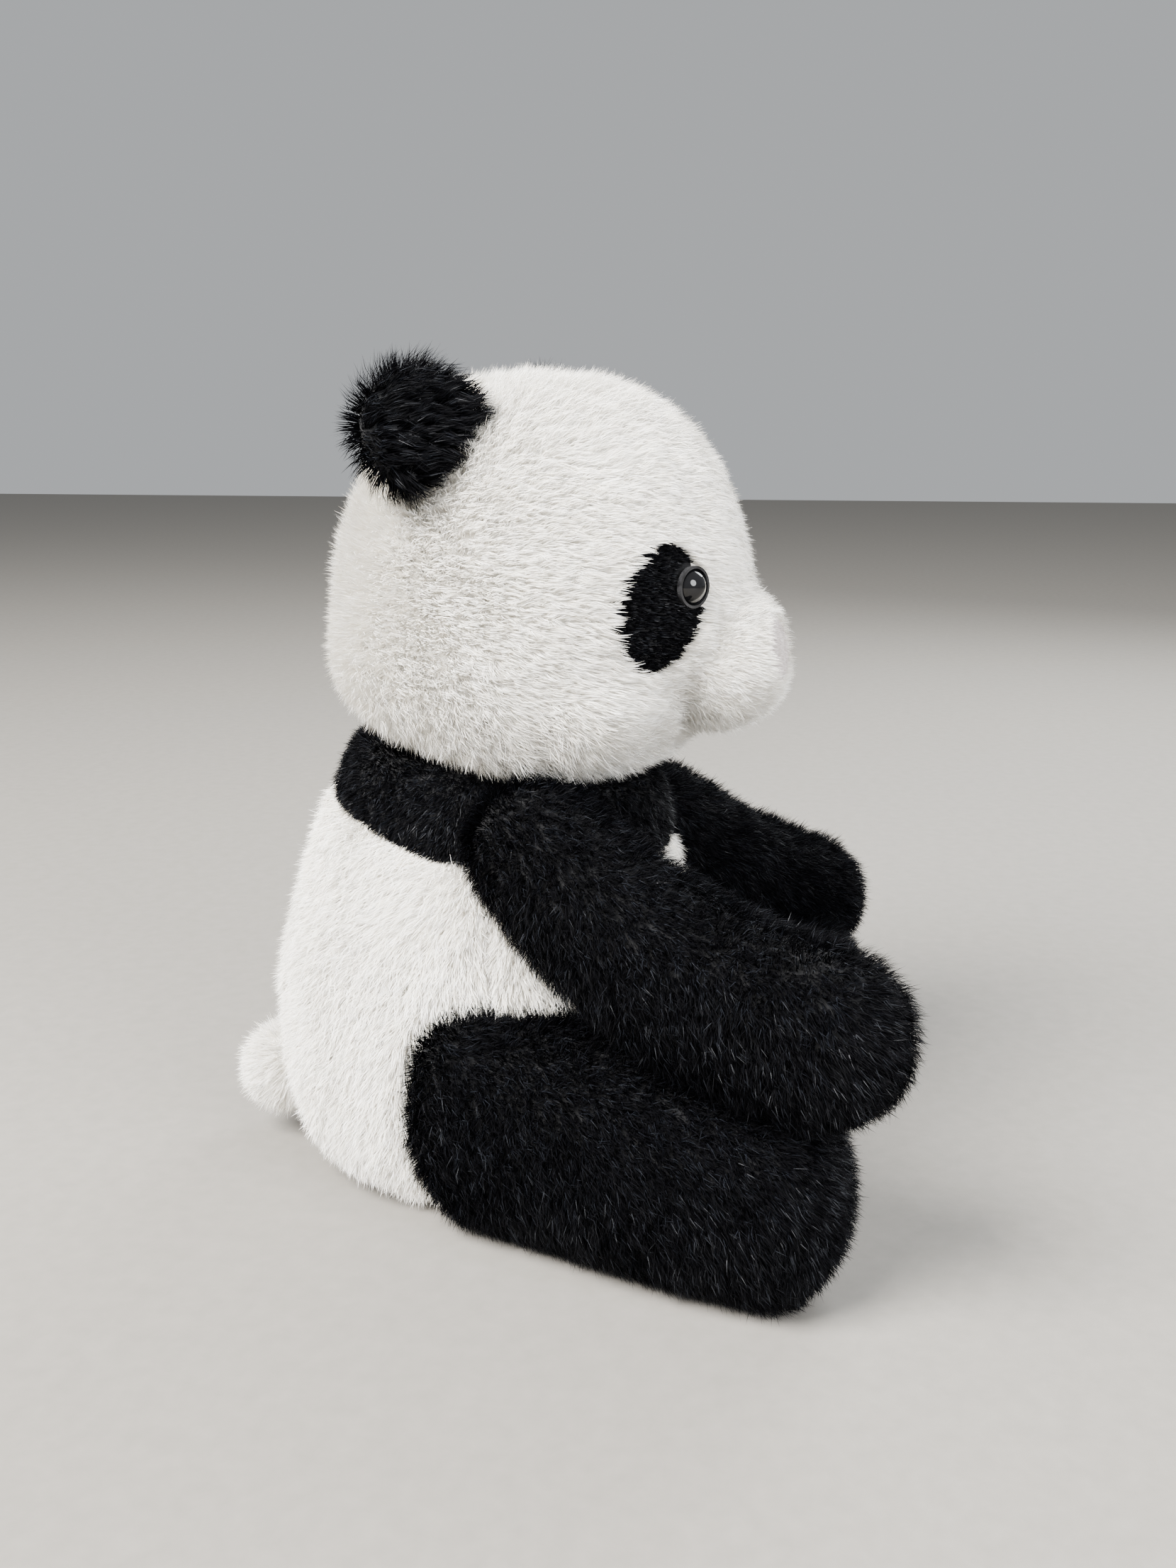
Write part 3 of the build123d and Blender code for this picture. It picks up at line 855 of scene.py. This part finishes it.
def makeEar(side, seed):
    sign = 1 if side == "left" else -1
    flip = np.array([sign, 1, 1])
    normal = np.array(ear["facing"]) / np.linalg.norm(ear["facing"])
    line = np.array(ear["line"]) - normal * np.dot(ear["line"], normal)
    line /= np.linalg.norm(line)
    up = np.cross(normal, line)
    wide, half = ear["radius"], ear["half"]
    outline = [(0, -half), (wide * 0.58, -half * 0.85), (wide * 0.87, -half * 0.5), (wide, 0),
               (wide * 0.87, half * 0.5), (wide * 0.58, half * 0.85), (0, half)]
    disc = turnedForm("earForm", outline, lambda p: p, 48, 24)
    p = vertsOf(disc) / mm
    p[:, 1] = np.maximum(p[:, 1], -ear["root"] + 3)
    cup = ear["cup"] * np.exp(-((p[:, 0] ** 2 + p[:, 1] ** 2) / 120.0))
    p[:, 2] -= cup * (p[:, 2] > 0)   # a shallow cup in front
    placed = (np.array(ear["at"]) + p[:, :1] * line + p[:, 1:2] * up + p[:, 2:] * normal) * flip
    setVerts(disc, turnHead(placed) * mm)
    if sign < 0:
        disc.data.flip_normals()
    outFrom = turnHead((up * flip)[None, :] + np.array([0, head["neckY"], 0]))[0]

    def fromMiddle(q):
        return faceOn(q) * flip - np.array(ear["at"])

    def front(q):
        return fromMiddle(q) @ normal > 0

    def comb(root, upward):
        spread = unit(fromMiddle(root)) * flip
        return turnHead(spread + np.array([0, head["neckY"], 0])) * 0.9 + outFrom * 0.8

    name = "ear" + side.capitalize()
    dress(disc, name + "Front", "ear_front_" + side, "ear_" + side, earPile,
          front, comb, seed)
    dress(disc, name + "Back", "ear_back_" + side, "ear_" + side, earPile,
          lambda q: ~front(q), comb, seed + 1)
    bpy.data.objects.remove(disc)


makeEar("right", 400)
makeEar("left", 410)


tail = {"balls": [((0, 80, 28), (14, 13.5, 14)), ((0, 75, 30), (11, 9, 11))], "root": (0, 70, 34),
        "voxel": 2.0}
tailPile = dict(whitePile, length=8.0, density=4.4, lean=0.55)
tailForm = stuffedForm("tailForm", tail["balls"], tail["voxel"], 3)


def tailComb(root, up):
    return unit(root - np.array(tail["root"])) + np.array([0, 0.1, -0.3])


for side, pick, seed, also in (("left", lambda p: p[:, 0] > 0, 504, ("tail_stuffing",)),
                               ("right", lambda p: p[:, 0] <= 0, 505, ())):
    dress(tailForm, "tail" + side.capitalize(), "tail_" + side, "tail", tailPile,
          pick, tailComb, seed, None, None, also)
for form in (headForm, torsoForm, tailForm):
    bpy.data.objects.remove(form)
print("pile triangles", sum(pileTriangles))


print("eyes")


def eyeGloss():
    mat, tree, shader = newMaterial("eyeBlackMoulded")
    cloud = addNoise(tree, 90, 2, 0.5)
    colourBetween(tree, shader, cloud.outputs["Fac"], (0.002, 0.002, 0.002), (0.006, 0.006, 0.007))
    shader.inputs["Roughness"].default_value = 0.05
    shader.inputs["Specular IOR Level"].default_value = 0.35
    return mat


def rimSmoke():
    mat, tree, shader = newMaterial("eyeRimSmoke")
    cloud = addNoise(tree, 300, 2, 0.5)
    colourBetween(tree, shader, cloud.outputs["Fac"], (0.012, 0.012, 0.013), (0.035, 0.035, 0.037))
    shader.inputs["Roughness"].default_value = 0.12
    shader.inputs["Coat Weight"].default_value = 0.6
    return mat


def threadTwist():
    mat, tree, shader = newMaterial("threadTwist")
    coords = tree.nodes.new("ShaderNodeTexCoord")
    strands = tree.nodes.new("ShaderNodeTexWave")
    strands.inputs["Scale"].default_value = 900
    tree.links.new(coords.outputs["Object"], strands.inputs["Vector"])
    colourBetween(tree, shader, strands.outputs["Fac"], (0.006, 0.006, 0.006), (0.03, 0.03, 0.03))
    shader.inputs["Roughness"].default_value = 0.8
    return mat


def washerPlastic():
    mat, tree, shader = newMaterial("washerPlastic")
    cloud = addNoise(tree, 200)
    colourBetween(tree, shader, cloud.outputs["Fac"], (0.72, 0.72, 0.70), (0.82, 0.82, 0.80))
    shader.inputs["Roughness"].default_value = 0.5
    return mat


finishes = {"eye_": eyeGloss(), "eye_rim_": rimSmoke(), "eye_washer_": washerPlastic(),
            "arm_seam_": threadTwist()}
for start, mat in finishes.items():
    for side in ("left", "right"):
        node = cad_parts[start + side]
        if not node.material_slots:
            node.data.materials.append(mat)
        for slotNumber in range(len(node.material_slots)):
            node.material_slots[slotNumber].material = mat


print("stage")
floor = collectMesh("floor", [(-6, -6, 0), (6, -6, 0), (6, 6, 0), (-6, 6, 0)], [(0, 1, 2, 3)])
floorMat, floorTree, floorShader = newMaterial("paleFloor")
speck = addNoise(floorTree, 120)
colourBetween(floorTree, floorShader, speck.outputs["Fac"], (0.20, 0.187, 0.166), (0.225, 0.21, 0.188))
floorShader.inputs["Roughness"].default_value = 0.8
floor.data.materials.append(floorMat)

world = bpy.data.worlds.new("studio")
bpy.context.scene.world = world
world.use_nodes = True
world.node_tree.nodes["Background"].inputs["Color"].default_value = (0.62, 0.64, 0.66, 1)
world.node_tree.nodes["Background"].inputs["Strength"].default_value = 0.75


def softLight(name, at, aim, size, power, colour):
    lamp = bpy.data.lights.new(name, "AREA")
    lamp.shape = "DISK"
    lamp.size = size
    lamp.energy = power
    lamp.color = colour
    holder = bpy.data.objects.new(name, lamp)
    bpy.context.scene.collection.objects.link(holder)
    holder.location = at
    holder.rotation_euler = (Vector(aim) - Vector(at)).to_track_quat("-Z", "Y").to_euler()


softLight("windowLight", (-1.3, 0.9, 1.7), (0, -0.02, 0.15), 1.3, 330, (1, 0.985, 0.955))
softLight("fillLight", (-1.2, -1.5, 1.0), (0, -0.02, 0.12), 1.2, 80, (0.95, 0.97, 1))
softLight("rimLight", (1.2, -0.6, 1.1), (0, -0.02, 0.15), 1.0, 40, (0.95, 0.98, 1))

camera = {"at": (-0.5810, -0.1557, 0.277), "turn": 11.0, "pitch": 12.3, "lens": 37.4322, "sensor": 36.0}
turn, pitch = math.radians(camera["turn"]), math.radians(camera["pitch"])
lens = bpy.data.cameras.new("camera")
lens.sensor_width = camera["sensor"]
lens.lens = camera["lens"]
eyePoint = bpy.data.objects.new("camera", lens)
bpy.context.scene.collection.objects.link(eyePoint)
eyePoint.location = camera["at"]
heading = Vector((math.cos(turn) * math.cos(pitch), math.sin(turn) * math.cos(pitch), -math.sin(pitch)))
eyePoint.rotation_euler = heading.to_track_quat("-Z", "Y").to_euler()
bpy.context.scene.camera = eyePoint
